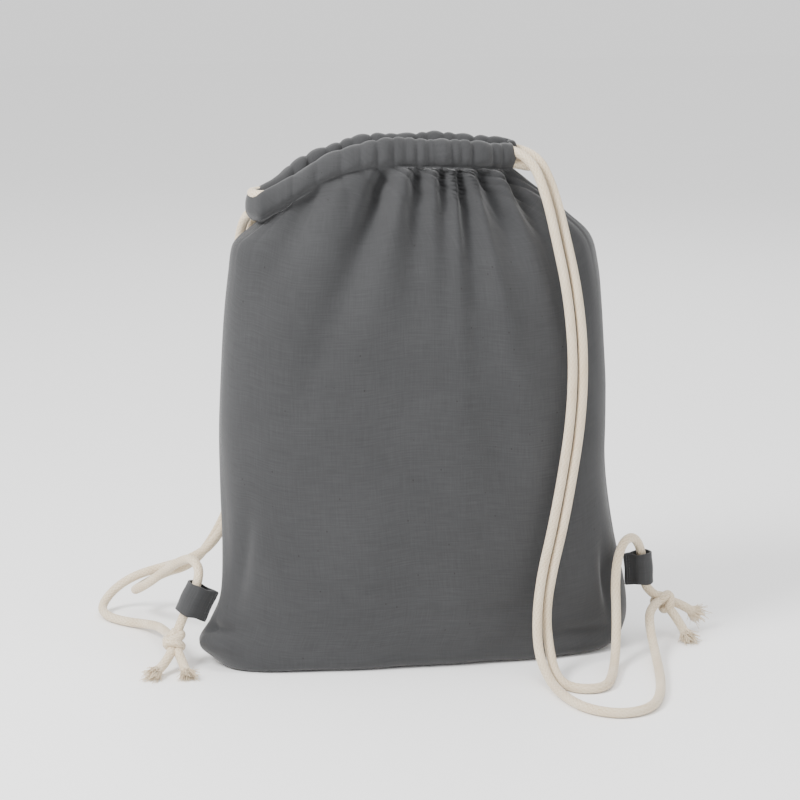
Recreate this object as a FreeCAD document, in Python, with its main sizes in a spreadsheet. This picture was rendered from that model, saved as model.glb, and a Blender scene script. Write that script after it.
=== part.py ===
import FreeCAD, Part
import math
import os

# Drawstring backpack: a two-panel cotton sack, stuffed and standing, closed by two cords that
# run through the hem casings and come down to a fabric loop at each bottom corner.
# Millimetres. X runs across the bag, Y from its front (-) to its back (+), Z up.
# The origin is on the floor, under the middle of the bag and its tabs.

V = FreeCAD.Vector
doc = FreeCAD.newDocument("drawstring_backpack")

# ---------------------------------------------------------------- driving dimensions
DIMENSIONS = [
    ("cloth_wall", 1.5, "two plies of seam and the canvas between them"),
    ("casing_height", 23.6, "hem tunnel, outside"),
    ("casing_depth", 13.4, "hem tunnel, outside, through its front and back plies"),
    ("casing_ply", 1.2, "one ply of the hem"),
    ("casing_gap", 1.0, "from a panel's top edge to the hem above it"),
    ("base_flat", 0.2, "how far the bottom is pressed flat by the floor"),
    ("cord_diameter", 8.0, "braided cotton cord"),
    ("cord_lane", 5.1, "each cord's height above or below the middle of the hem"),
    ("seam_width", 7.0, "seam allowance inside the bag"),
    ("seam_ply", 1.6, "thickness of the seam allowance"),
    ("tab_ply", 1.5, "webbing of a loop tab"),
    ("tab_bore", 7.0, "inner radius of a loop tab's rounded end"),
    ("tab_root", 1.5, "half thickness of the tab where it is sewn in"),
    ("left_tab_length", 26.0, "how far the left tab stands out of its seam"),
    ("left_tab_width", 27.0, "webbing width"),
    ("right_tab_length", 23.0, "how far the right tab stands out of its seam"),
    ("right_tab_width", 27.0, "webbing width"),
    ("thread_size", 0.8, "thickness of a row of stitches"),
    ("knot_width", 12.5, "radius of an overhand knot across the cords"),
    ("knot_height", 14.5, "radius of an overhand knot along the cords"),
]

sheet = doc.addObject("Spreadsheet::Sheet", "dimensions")
for index, (alias, value, meaning) in enumerate(DIMENSIONS, start=1):
    sheet.set("A%d" % index, meaning)
    sheet.set("B%d" % index, str(value))
    sheet.setAlias("B%d" % index, alias)
doc.recompute()


def size(alias):
    return float(sheet.get(alias))


# ---------------------------------------------------------------- the stuffed bag's shape
# Each row goes once round the front panel at one height:
# height, half depth, left edge, right edge, squareness, droop of the left end.
PANEL_ROWS = [
    (0.0, 0.0, -156.0, 156.0, 0.0, 0.0),
    (0.0, 16.0, -159.0, 159.0, 0.35, 0.0),
    (0.0, 32.0, -162.0, 162.0, 0.40, 0.0),
    (0.0, 45.0, -166.0, 166.0, 0.40, 0.0),
    (5.0, 51.0, -177.0, 178.0, 0.28, 0.0),
    (18.0, 54.0, -190.0, 186.0, 0.14, 0.0),
    (36.0, 56.0, -180.0, 185.0, 0.10, 0.0),
    (60.0, 57.5, -166.0, 181.0, 0.14, 0.0),
    (100.0, 59.0, -163.5, 172.0, 0.18, 0.0),
    (160.0, 60.0, -164.5, 163.5, 0.20, 0.0),
    (220.0, 60.0, -164.0, 161.0, 0.20, 0.0),
    (285.0, 57.0, -160.0, 159.5, 0.18, 0.0),
    (330.0, 53.0, -155.5, 155.5, 0.15, 0.0),
    (358.0, 47.0, -151.0, 148.0, 0.12, 4.0),
    (382.0, 40.0, -146.0, 122.0, 0.06, 14.0),
    (400.0, 35.5, -134.0, 98.0, 0.02, 28.0),
]
FLAT_ROWS = 2
DROOP_STARTS = -30.0

# Middle line of the front hem, from its left end to its right end. The back hem mirrors it.
HEM_STATIONS = [
    V(-117, -12, 390),
    V(-98, -18, 404),
    V(-72, -22, 418),
    V(-35, -25.5, 427),
    V(5, -26, 427),
    V(43, -22, 425),
    V(77, -12, 422),
]
HEM_SHARE = 0.9
COLUMNS = 24
ROW_DEGREE = 2
COLUMN_DEGREE = 3


def lerp(low, high, share):
    return low + (high - low) * share


def row_point(row, turn):
    """One point of a panel row; turn runs from -1 at the left seam to 1 at the right seam."""
    height, half_depth, left, right, squareness, droop = row
    angle = math.radians(90.0 * turn)
    centre = (left + right) / 2.0
    reach = (right - left) / 2.0
    x = centre + reach * math.sin(angle) * (1.0 + squareness * math.cos(angle) ** 2)
    y = -half_depth * math.cos(angle) * (1.0 + squareness * math.sin(angle) ** 2)
    if abs(turn) == 1.0:
        y = 0.0
    hang = max(0.0, (DROOP_STARTS - x) / (DROOP_STARTS - left))
    return V(x, y, height - droop * hang ** 2)


def hem_curve():
    curve = Part.BSplineCurve()
    curve.interpolate(HEM_STATIONS)
    return curve


def hem_frame(curve, share):
    """Place on the hem's middle line, with its plan direction and its outward plan normal."""
    place = lerp(curve.FirstParameter, curve.LastParameter, share)
    along = curve.tangent(place)[0]
    along = V(along.x, along.y, 0).normalize()
    return curve.value(place), along, V(along.y, -along.x, 0)


def hem_edge_point(curve, turn):
    """The panel's top edge: under the hem's outer face, closing to the side seam at its ends."""
    share = max(-1.0, min(1.0, turn / HEM_SHARE))
    place, along, outward = hem_frame(curve, (share + 1.0) / 2.0)
    offset = size("casing_depth") / 2.0 - 0.5 * size("cloth_wall")
    drop = size("casing_height") / 2.0 + size("casing_gap")
    past_end = max(0.0, (abs(turn) - HEM_SHARE) / (1.0 - HEM_SHARE))
    swing = math.radians(90.0 * past_end)
    edge = place + outward * (offset * math.cos(swing))
    edge += along * (math.copysign(offset, turn) * math.sin(swing))
    return V(edge.x, edge.y * (1.0 - past_end), place.z - drop)


def panel_grid():
    curve = hem_curve()
    turns = [2.0 * column / COLUMNS - 1.0 for column in range(COLUMNS + 1)]
    grid = [[row_point(row, turn) for turn in turns] for row in PANEL_ROWS]
    grid.append([hem_edge_point(curve, turn) for turn in turns])
    return grid


def inset_grid(grid, wall):
    """The same grid moved into the bag by the wall, with its seam edges kept on the seam plane."""
    rows = len(grid)
    columns = len(grid[0])
    inner = []
    for i in range(rows):
        line = []
        for j in range(columns):
            across = grid[i][min(j + 1, columns - 1)] - grid[i][max(j - 1, 0)]
            upward = grid[min(i + 1, rows - 1)][j] - grid[max(i - 1, 0)][j]
            normal = across.cross(upward)
            if i < FLAT_ROWS:
                normal = V(0, 0, -1)
            if j in (0, columns - 1):
                normal.y = 0.0
            if i == rows - 1:
                normal.z = 0.0
            line.append(grid[i][j] - normal.normalize() * wall)
        inner.append(line)
    return inner


def clamped_knots(count, degree):
    """Even knots and multiplicities for a curve that starts and ends on its end poles."""
    spans = count - degree
    return list(range(spans + 1)), [degree + 1] + [1] * (spans - 1) + [degree + 1]


def pole_surface(poles, row_degree, column_degree):
    """Smooth surface with these poles, so that it never swings past them."""
    row_knots, row_mults = clamped_knots(len(poles), row_degree)
    column_knots, column_mults = clamped_knots(len(poles[0]), column_degree)
    surface = Part.BSplineSurface()
    surface.buildFromPolesMultsKnots(poles, row_mults, column_mults, row_knots, column_knots,
                                     False, False, row_degree, column_degree)
    return surface.toShape()


def cloth_solid(outer, inner):
    """Closed solid between two grids of poles, with a strip along each of its four edges."""
    faces = [pole_surface(grid, ROW_DEGREE, COLUMN_DEGREE) for grid in (outer, inner)]
    for row in (0, -1):
        faces.append(pole_surface([outer[row], inner[row]], 1, COLUMN_DEGREE))
    for column in (0, -1):
        edges = [[line[column] for line in grid] for grid in (outer, inner)]
        faces.append(pole_surface(edges, 1, ROW_DEGREE))
    shell = Part.makeShell(faces)
    shell.sewShape()
    solid = Part.makeSolid(shell)
    if solid.Volume < 0:
        solid.reverse()
    return solid


def feature(name, shape):
    obj = doc.addObject("Part::Feature", name)
    obj.Label = name
    obj.Shape = shape
    return obj


def back_copy(shape):
    return shape.mirror(V(0, 0, 0), V(0, 1, 0))


nodes = []

# ---------------------------------------------------------------- panels
# A panel is free-form cloth, which no sketch feature makes, so its solid is made in code. The
# floor cuts its underside to a true plane, which is the face that the bag stands on.
FLOOR_BLOCK = 500.0
panel_rows = panel_grid()
front_shape = cloth_solid(panel_rows, inset_grid(panel_rows, size("cloth_wall")))
front_shape.translate(V(0, 0, -size("base_flat")))
below_floor = Part.makeBox(FLOOR_BLOCK, FLOOR_BLOCK, FLOOR_BLOCK)
below_floor.translate(V(-FLOOR_BLOCK / 2.0, -FLOOR_BLOCK / 2.0, -FLOOR_BLOCK))
front_shape = front_shape.cut(below_floor)
nodes.append(feature("front_panel", front_shape))
nodes.append(feature("back_panel", back_copy(front_shape)))


# ---------------------------------------------------------------- hem casings
def hem_loft(height, depth, low_share, high_share, sideways=0.0, lift=0.0, stations=13):
    """A band along the front hem, with an upright rectangle as its section."""
    curve = hem_curve()
    wires = []
    for index in range(stations):
        share = lerp(low_share, high_share, index / (stations - 1.0))
        place, along, outward = hem_frame(curve, share)
        middle = place + outward * sideways + V(0, 0, lift)
        corners = []
        for side, level in ((-1, -1), (1, -1), (1, 1), (-1, 1)):
            corners.append(middle + outward * (side * depth / 2.0) + V(0, 0, level * height / 2.0))
        corners.append(corners[0])
        wires.append(Part.makePolygon(corners))
    return Part.makeLoft(wires, True, False)


ply = size("casing_ply")
tunnel = hem_loft(size("casing_height") - 2 * ply, size("casing_depth") - 2 * ply, 0.0, 1.0)
casing_block = hem_loft(size("casing_height"), size("casing_depth"), 0.0, 1.0)
casing_shape = casing_block.cut(tunnel)
nodes.append(feature("front_casing", casing_shape))
nodes.append(feature("back_casing", back_copy(casing_shape)))

thread = size("thread_size")
STITCH_START, STITCH_END = 0.03, 0.97
STITCH_HEIGHT = 2.0
STITCH_STANDOFF = 0.1
stitch_lift = -size("casing_height") / 2.0 + STITCH_HEIGHT
stitch_out = size("casing_depth") / 2.0 + thread / 2.0 + STITCH_STANDOFF
stitch_shape = hem_loft(thread, thread, STITCH_START, STITCH_END, stitch_out, stitch_lift)
nodes.append(feature("front_casing_stitch", stitch_shape))
nodes.append(feature("back_casing_stitch", back_copy(stitch_shape)))


# ---------------------------------------------------------------- seam allowances inside the bag
def seam_strip(points, inward):
    """Strip of cloth on the seam plane: it follows the points and is seam_width deep inward."""
    half = size("seam_ply") / 2.0
    depth = size("seam_width")
    wires = []
    for point, direction in zip(points, inward):
        deep = point + direction * depth
        corners = [point + V(0, -half, 0), point + V(0, half, 0)]
        corners += [deep + V(0, half, 0), deep + V(0, -half, 0)]
        corners.append(corners[0])
        wires.append(Part.makePolygon(corners))
    return Part.makeLoft(wires, True, False)


SEAM_CLEARANCE = 4.5
for name, column, toward in (("left_seam", 2, 1.0), ("right_seam", 3, -1.0)):
    tall_rows = [row for row in PANEL_ROWS if 60.0 <= row[0] <= 358.0]
    points = [V(row[column] + toward * SEAM_CLEARANCE, 0, row[0] - row[5]) for row in tall_rows]
    nodes.append(feature(name, seam_strip(points, [V(toward, 0, 0)] * len(points))))

base_ends = [V(-140, 0, SEAM_CLEARANCE), V(140, 0, SEAM_CLEARANCE)]
nodes.append(feature("bottom_seam", seam_strip(base_ends, [V(0, 0, 1)] * 2)))


# ---------------------------------------------------------------- loop tabs
# Each tab is webbing folded into a loop and sewn into the side seam. The sketch looks along the
# loop's hole: X outward from the seam. The body then stands at its root with the hole upright.
TAB_THROAT = 5.0


def tab_profile(sketch, length, radius, root):
    """Outline of a loop: flat root, straight plies, rounded end. Root 0 gives the hole."""
    centre = length - size("tab_ply") - size("tab_bore")
    lean = math.asin(size("tab_bore") / (centre - TAB_THROAT))
    touch = V(centre - radius * math.sin(lean), radius * math.cos(lean), 0)
    start_x = touch.x - (touch.y - root) / math.tan(lean)
    start = V(start_x, root, 0)
    end = V(centre + radius, 0, 0)
    low_touch = V(touch.x, -touch.y, 0)
    low_start = V(start.x, -start.y, 0)
    if root > 0:
        corner = V(0, root, 0)
        low_corner = V(0, -root, 0)
        sketch.addGeometry(Part.LineSegment(low_start, low_corner))
        sketch.addGeometry(Part.LineSegment(low_corner, corner))
        sketch.addGeometry(Part.LineSegment(corner, start))
    sketch.addGeometry(Part.LineSegment(start, touch))
    sketch.addGeometry(Part.Arc(touch, end, low_touch))
    sketch.addGeometry(Part.LineSegment(low_touch, low_start))


def base_plane(body, role):
    return [item for item in body.Origin.OriginFeatures if item.Role == role][0]


def loop_tab(name, length_alias, width_alias, place, tilt):
    """Tab solid as a body. Tilt turns its outward direction from +X about -Y."""
    length = size(length_alias)
    body = doc.addObject("PartDesign::Body", name)
    body.Label = name
    outline = body.newObject("Sketcher::SketchObject", name + "_outline")
    outline.AttachmentSupport = [(base_plane(body, "XY_Plane"), "")]
    outline.MapMode = "FlatFace"
    tab_profile(outline, length, size("tab_bore") + size("tab_ply"), size("tab_root"))
    tab_profile(outline, length, size("tab_bore"), 0.0)
    pad = body.newObject("PartDesign::Pad", name + "_webbing")
    pad.Profile = outline
    pad.Midplane = True
    pad.setExpression("Length", "dimensions." + width_alias)
    body.Placement = FreeCAD.Placement(place, FreeCAD.Rotation(V(0, -1, 0), tilt))
    doc.recompute()
    return body


def tab_stitch(name, width_alias, place, tilt):
    """Row of stitches across the front of the tab's flat root."""
    inset = 2.0
    stitch = doc.addObject("Part::Box", name)
    stitch.Label = name
    stitch.setExpression("Length", "dimensions.thread_size")
    stitch.setExpression("Width", "dimensions.thread_size * 0.75")
    stitch.setExpression("Height", "dimensions.%s - %s" % (width_alias, 2 * inset))
    turn = FreeCAD.Rotation(V(0, -1, 0), tilt)
    depth = size("tab_root") + 0.75 * size("thread_size")
    corner = V(1.0, -depth, inset - size(width_alias) / 2.0)
    stitch.Placement = FreeCAD.Placement(place + turn.multVec(corner), turn)
    return stitch


LEFT_TAB_PLACE = V(-174.5, 0, 49.0)
LEFT_TAB_TILT = 154.3
RIGHT_TAB_PLACE = V(184.6, 0, 63.0)
RIGHT_TAB_TILT = 4.0
TABS = [
    ("left", LEFT_TAB_PLACE, LEFT_TAB_TILT),
    ("right", RIGHT_TAB_PLACE, RIGHT_TAB_TILT),
]
for side, place, tilt in TABS:
    length_alias = side + "_tab_length"
    width_alias = side + "_tab_width"
    nodes.append(loop_tab(side + "_tab", length_alias, width_alias, place, tilt))
    nodes.append(tab_stitch(side + "_tab_stitch", width_alias, place, tilt))


# ---------------------------------------------------------------- knots
def knot(name, place):
    """Tight overhand knot, as the rounded lump that it makes."""
    lump = doc.addObject("Part::Ellipsoid", name)
    lump.Label = name
    lump.setExpression("Radius1", "dimensions.knot_height")
    lump.setExpression("Radius2", "dimensions.knot_width")
    lump.setExpression("Radius3", "dimensions.knot_width")
    lump.Placement = FreeCAD.Placement(place, FreeCAD.Rotation())
    doc.recompute()
    return lump


LEFT_KNOT_PLACE = V(-206, -9, 23)
RIGHT_KNOT_PLACE = V(221, 8, 31)
left_knot = knot("left_knot", LEFT_KNOT_PLACE)
right_knot = knot("right_knot", RIGHT_KNOT_PLACE)
nodes += [left_knot, right_knot]


# ---------------------------------------------------------------- cords
LIMIT_TURN = 2.0
RUN_SHARE = 0.45
VOLUME_ERROR = 0.01


def cord_tube(name, points, diameter):
    """Round tube along straight runs joined by tangent arcs."""
    edges = []
    length = 0.0
    tightest = 1e9
    position = points[0]
    for index in range(1, len(points) - 1):
        corner = points[index]
        before = corner - points[index - 1]
        after = points[index + 1] - corner
        turn = before.getAngle(after)
        if math.degrees(turn) < LIMIT_TURN:
            raise ValueError("%s has three points in line at %d" % (name, index))
        trim = RUN_SHARE * min(before.Length, after.Length)
        radius = trim / math.tan(turn / 2.0)
        tightest = min(tightest, radius)
        enter = corner - before.normalize() * trim
        leave = corner + after.normalize() * trim
        toward = (enter + leave) * 0.5 - corner
        rise = radius / math.cos(turn / 2.0) - radius
        crown = corner + toward.normalize() * rise
        edges.append(Part.LineSegment(position, enter).toShape())
        edges.append(Part.Arc(enter, crown, leave).toShape())
        length += (enter - position).Length + radius * turn
        position = leave
    edges.append(Part.LineSegment(position, points[-1]).toShape())
    length += (points[-1] - position).Length
    path = Part.Wire(edges)
    start = Part.Circle(points[0], points[1] - points[0], diameter / 2.0).toShape()
    tube = path.makePipeShell([Part.Wire([start])], True, False)
    expected = math.pi * (diameter / 2.0) ** 2 * length
    error = abs(tube.Volume / expected - 1.0)
    print("%s: length %.0f mm, tightest bend %.1f mm" % (name, length, tightest))
    if error > VOLUME_ERROR:
        raise ValueError("%s volume is off by %.1f %%" % (name, 100 * error))
    return tube


cord = size("cord_diameter")
lane = size("cord_lane")


def back_of(point):
    return V(point.x, -point.y, point.z)


def casing_run(stations, lift, bridge):
    """One cord's way through the front hem, across the gap at the far seam and back."""
    front = [point + V(0, 0, lift) for point in stations]
    turn_near = front[-1] + bridge
    return front + [turn_near, back_of(turn_near)] + [back_of(point) for point in reversed(front)]


RIGHT_CORD_BRIDGE = V(-18, 0, 0)
LEFT_CORD_BRIDGE = V(18, 0, -4)
run_routes = {
    "right_cord_casing_run": casing_run(HEM_STATIONS[::-1], lane, RIGHT_CORD_BRIDGE),
    "left_cord_casing_run": casing_run(HEM_STATIONS, -lane, LEFT_CORD_BRIDGE),
}
runs = {}
for name, points in run_routes.items():
    runs[name.split("_")[0]] = cord_tube(name, points, cord)
    nodes.append(feature(name, runs[name.split("_")[0]]))

RIGHT_EXIT = HEM_STATIONS[-1] + V(0, 0, lane)
LEFT_EXIT = HEM_STATIONS[0] - V(0, 0, lane)
CORD_ROUTES = {
    "right_cord_front_strand": [
        RIGHT_EXIT,
        V(91, -20, 423), V(100, -39, 396), V(107, -52, 356), V(114, -58, 319), V(118, -62, 281),
        V(119, -64, 243), V(116, -66, 202), V(110, -66, 161), V(102, -69, 121), V(93, -70, 82),
        V(88, -75, 50), V(86, -90, 20), V(89, -122, 5.2), V(93, -158, 4.3), V(103, -188, 4.3),
        V(126, -205, 4.3), V(152, -196, 4.3), V(168, -168, 4.3), V(181, -125, 4.3),
        V(193, -66, 7), V(197, -32, 21), V(203, -11, 30), V(215, 3, 32),
    ],
    "right_cord_back_strand": [
        back_of(RIGHT_EXIT),
        V(99, -1, 426), V(109, -28, 400), V(116, -46, 359), V(123, -56, 320), V(127, -61, 281),
        V(128, -63, 243), V(125, -65, 202), V(119, -65, 161), V(111, -68, 120), V(102, -68, 82),
        V(97, -70, 50), V(97, -80, 24), V(97, -104, 7), V(100, -128, 4.3), V(114, -140, 4.3),
        V(132, -136, 4.3), V(143, -112, 4.3), V(154, -80, 6), V(161, -58, 20), V(163, -49, 42),
        V(163, -44, 62), V(167, -34, 81), V(176, -21, 94), V(189, -7, 94), V(198, -0.5, 79),
        V(200, 0.3, 50), V(210, 4, 38), V(217, 7, 34),
    ],
    "left_cord_back_strand": [
        back_of(LEFT_EXIT),
        V(-128, 18, 379), V(-132, 36, 366), V(-131, 52, 337), V(-132, 58, 292), V(-133, 60, 244),
        V(-136, 62, 196), V(-142, 68, 150), V(-146, 77, 110), V(-162, 93, 76), V(-181, 112, 59),
        V(-202, 136, 47), V(-225, 159, 34), V(-243, 172, 18), V(-255, 160, 6), V(-251, 137, 4.3),
        V(-238, 119, 4.3), V(-221, 102, 6), V(-212, 70, 13), V(-208, 34, 18), V(-206, 2, 22),
    ],
    "left_cord_front_strand": [
        LEFT_EXIT,
        V(-128, -8, 384), V(-136, 8, 380), V(-141, 28, 365), V(-142, 47, 338), V(-143, 58, 299),
        V(-141, 65, 250), V(-144, 70, 200), V(-141, 78, 150), V(-147, 89, 110), V(-165, 112, 68),
        V(-180, 127, 49), V(-197, 158, 36), V(-215, 160, 26), V(-228, 143, 24), V(-218, 110, 39),
        V(-205, 82, 58), V(-195, 48, 76), V(-186, 18, 87), V(-181, 0.5, 76),
        V(-199, -0.5, 38), V(-204, -7, 27),
    ],
}
CORD_TAILS = {
    "right_tail_a": [V(223, 4, 27), V(230, -2, 18), V(234, -13, 8)],
    "right_tail_b": [V(226, 9, 30), V(236, 9, 27), V(247, 12, 19)],
    "left_tail_a": [V(-208, -13, 18), V(-212, -22, 11), V(-222, -33, 6)],
    "left_tail_b": [V(-204, -14, 17), V(-201, -24, 10), V(-199, -36, 5)],
}
knots = {"right": right_knot.Shape, "left": left_knot.Shape}
for routes in (CORD_ROUTES, CORD_TAILS):
    for name, points in routes.items():
        side = name.split("_")[0]
        tube = cord_tube(name, points, cord)
        nodes.append(feature(name, tube.cut(knots[side]).cut(runs[side])))

# ---------------------------------------------------------------- checks and export
doc.recompute()
for obj in doc.Objects:
    if "Invalid" in obj.State or "Error" in obj.State:
        raise RuntimeError("%s is in state %s" % (obj.Name, obj.State))
os.makedirs("parts", exist_ok=True)
for node in nodes:
    if node.Shape.isNull() or not node.Shape.isValid():
        raise RuntimeError("%s has no valid shape" % node.Label)
    if len(node.Shape.Solids) != 1:
        raise RuntimeError("%s has %d solids" % (node.Label, len(node.Shape.Solids)))
    node.Shape.exportStep("parts/%s.step" % node.Label)
    box = node.Shape.BoundBox
    print("%-26s %9.0f mm3  x %.0f..%.0f  y %.0f..%.0f  z %.1f..%.1f" % (
        node.Label, node.Shape.Volume, box.XMin, box.XMax, box.YMin, box.YMax, box.ZMin, box.ZMax))
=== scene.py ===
import math

import bpy
import numpy as np
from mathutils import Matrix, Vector


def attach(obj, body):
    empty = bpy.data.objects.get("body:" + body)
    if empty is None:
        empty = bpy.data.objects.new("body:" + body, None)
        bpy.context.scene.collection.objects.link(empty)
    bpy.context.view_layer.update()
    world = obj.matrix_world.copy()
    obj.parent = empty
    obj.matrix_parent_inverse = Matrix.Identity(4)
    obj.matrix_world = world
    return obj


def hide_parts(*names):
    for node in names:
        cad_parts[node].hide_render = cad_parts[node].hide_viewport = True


# Looks of the drawstring backpack: gathered cotton panels with their hem tunnel, braided cords with
# knots and frayed ends, and a webbing loop at each bottom corner. Axes and places are the design's,
# and lists of places are in millimetres.

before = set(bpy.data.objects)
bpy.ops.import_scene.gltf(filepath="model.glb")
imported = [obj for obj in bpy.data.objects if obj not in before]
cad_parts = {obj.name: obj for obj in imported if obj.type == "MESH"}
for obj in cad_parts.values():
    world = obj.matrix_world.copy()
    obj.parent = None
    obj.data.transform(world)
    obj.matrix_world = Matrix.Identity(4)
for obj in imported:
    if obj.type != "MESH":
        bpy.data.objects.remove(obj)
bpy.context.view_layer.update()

MM = 0.001
SEED = 7
random = np.random.default_rng(SEED)


# ---------------------------------------------------------------- view
CAMERA_AZIMUTH = -10.5
CAMERA_ELEVATION = 12.0
CAMERA_DISTANCE = 2.2
CAMERA_LENS = 118.8
CAMERA_TARGET = Vector((-0.013, 0.0, 0.219))
LIGHT_TARGET = Vector((0.0, 0.0, 0.2))
SKY_STRENGTH = 1.2
FLOOR_REACH = 6.0

# Name, azimuth, elevation, distance, size and power of each soft light.
LIGHTS = [
    ("key", -58.0, 40.0, 2.2, 0.8, 72.0),
    ("fill", 50.0, 25.0, 2.6, 1.8, 10.0),
    ("top", 10.0, 82.0, 1.9, 1.2, 16.0),
    ("rim", 160.0, 35.0, 2.4, 1.2, 12.0),
]


def direction(azimuth, elevation):
    """Unit vector towards a viewer; azimuth 0 is the bag's front."""
    a, e = math.radians(azimuth), math.radians(elevation)
    return Vector((math.sin(a) * math.cos(e), -math.cos(a) * math.cos(e), math.sin(e)))


def aim(obj, place, target):
    obj.location = place
    obj.rotation_euler = (target - place).to_track_quat("-Z", "Y").to_euler()


def add_camera():
    """Camera a little to the left of the bag's front and above it."""
    data = bpy.data.cameras.new("camera")
    data.lens = CAMERA_LENS
    data.sensor_width = 36.0
    camera = bpy.data.objects.new("camera", data)
    bpy.context.scene.collection.objects.link(camera)
    place = CAMERA_TARGET + direction(CAMERA_AZIMUTH, CAMERA_ELEVATION) * CAMERA_DISTANCE
    aim(camera, place, CAMERA_TARGET)
    bpy.context.scene.camera = camera


def add_area_light(name, azimuth, elevation, distance, size, power):
    data = bpy.data.lights.new(name, "AREA")
    data.shape = "DISK"
    data.size = size
    data.energy = power
    light = bpy.data.objects.new(name, data)
    bpy.context.scene.collection.objects.link(light)
    aim(light, LIGHT_TARGET + direction(azimuth, elevation) * distance, LIGHT_TARGET)


def add_studio():
    """Pale floor, even sky and four soft lights."""
    world = bpy.data.worlds.new("studio")
    bpy.context.scene.world = world
    world.use_nodes = True
    background = world.node_tree.nodes["Background"]
    background.inputs["Color"].default_value = (1.0, 1.0, 1.0, 1.0)
    background.inputs["Strength"].default_value = SKY_STRENGTH
    for light in LIGHTS:
        add_area_light(*light)
    mesh = bpy.data.meshes.new("floor")
    corners = [(x * FLOOR_REACH, y * FLOOR_REACH, 0) for x, y in ((-1, -1), (1, -1), (1, 1), (-1, 1))]
    mesh.from_pydata(corners, [], [(0, 1, 2, 3)])
    floor = bpy.data.objects.new("floor", mesh)
    bpy.context.scene.collection.objects.link(floor)
    material = bpy.data.materials.new("pale_floor")
    material.use_nodes = True
    shader = material.node_tree.nodes["Principled BSDF"]
    shader.inputs["Base Color"].default_value = (0.97, 0.97, 0.97, 1.0)
    shader.inputs["Roughness"].default_value = 0.7
    mesh.materials.append(material)


# ---------------------------------------------------------------- materials
class Nodes:
    """Short way to add and join shader nodes."""

    def __init__(self, name):
        self.material = bpy.data.materials.new(name)
        self.material.use_nodes = True
        self.tree = self.material.node_tree
        self.shader = self.tree.nodes["Principled BSDF"]

    def add(self, kind, values=(), **settings):
        node = self.tree.nodes.new(kind)
        for key, value in settings.items():
            setattr(node, key, value)
        for key, value in dict(values).items():
            node.inputs[key].default_value = value
        return node

    def join(self, out_socket, in_socket):
        self.tree.links.new(out_socket, in_socket)

    def scaled(self, scale):
        """UV coordinates, which are in metres of cloth or cord, times a scale for each way."""
        coordinates = self.add("ShaderNodeUVMap")
        mapping = self.add("ShaderNodeMapping", {"Scale": scale})
        self.join(coordinates.outputs["UV"], mapping.inputs["Vector"])
        return mapping.outputs["Vector"]

    def ramp(self, factor, stops):
        ramp = self.add("ShaderNodeValToRGB")
        elements = ramp.color_ramp.elements
        while len(elements) < len(stops):
            elements.new(0.5)
        for element, (position, colour) in zip(elements, stops):
            element.position = position
            element.color = (*colour, 1.0)
        self.join(factor, ramp.inputs["Fac"])
        return ramp.outputs["Color"]

    def mix(self, blend, factor, first, second):
        node = self.add("ShaderNodeMix", data_type="RGBA", blend_type=blend)
        node.inputs[0].default_value = factor
        self.join(first, node.inputs[6])
        self.join(second, node.inputs[7])
        return node.outputs[2]


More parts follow.
